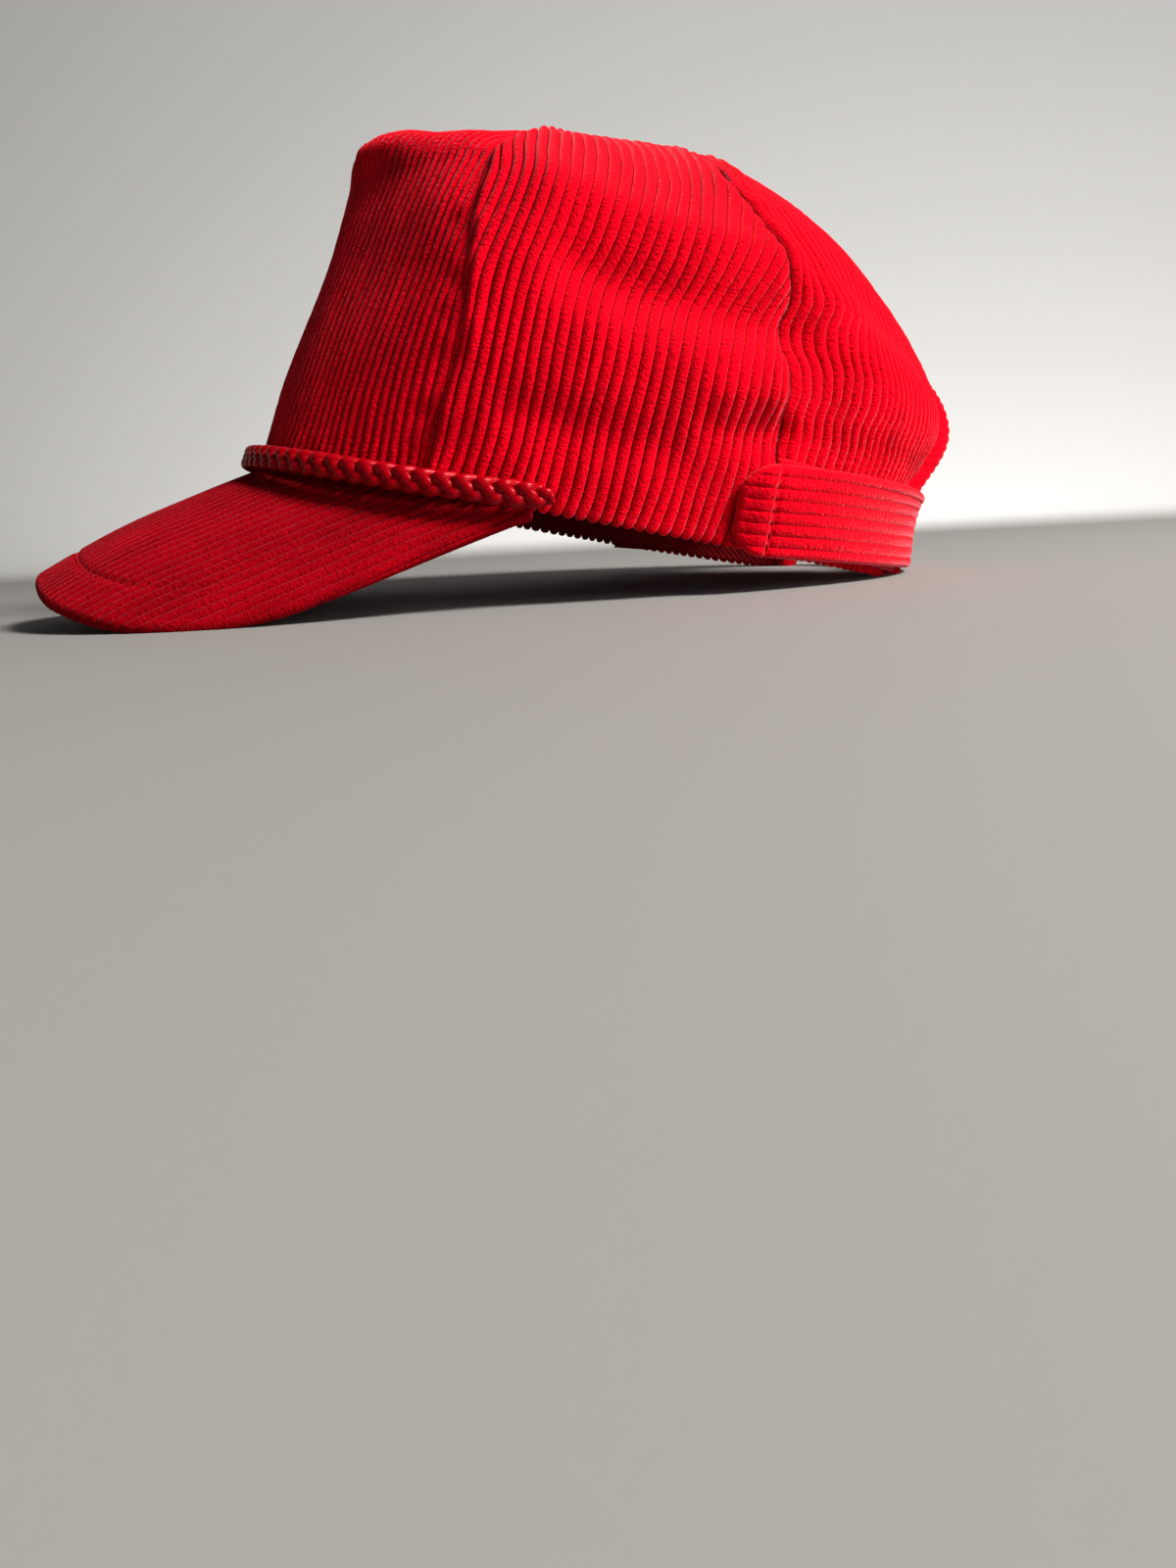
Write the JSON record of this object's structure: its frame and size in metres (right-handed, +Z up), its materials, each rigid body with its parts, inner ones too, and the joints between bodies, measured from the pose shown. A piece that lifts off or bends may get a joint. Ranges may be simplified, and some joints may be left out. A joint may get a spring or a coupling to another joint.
{
  "type": "corduroy rope cap",
  "caption": "Soft panelled corduroy cap with a curved peak, a braided rope over the peak joint and a strap across a half-moon back opening.",
  "frame": {"origin": "on the floor under the middle of the cap's box, as it lies by itself on its peak and the back of its rim", "axes": "+Z up, the front of the cap faces -Y and the wearer's left is +X"},
  "size_m": [0.1686, 0.2626, 0.1276],
  "materials": {
    "corduroy": "cut cotton pile in wide ribs",
    "peak_corduroy": "cut cotton pile over a stiff board",
    "strap_corduroy": "cut cotton pile, ribs along the strap",
    "satin_braid": "satin cord"
  },
  "bodies": {
    "root": {"front_panel": "corduroy", "side_panel_left": "corduroy", "side_panel_right": "corduroy", "back_panel_left": "corduroy", "back_panel_right": "corduroy", "peak": "peak_corduroy", "rope": "satin_braid", "back_strap": "strap_corduroy", "under_strap": "strap_corduroy", "opening_binding": "corduroy", "top_button": "corduroy"}
  },
  "joints": []
}
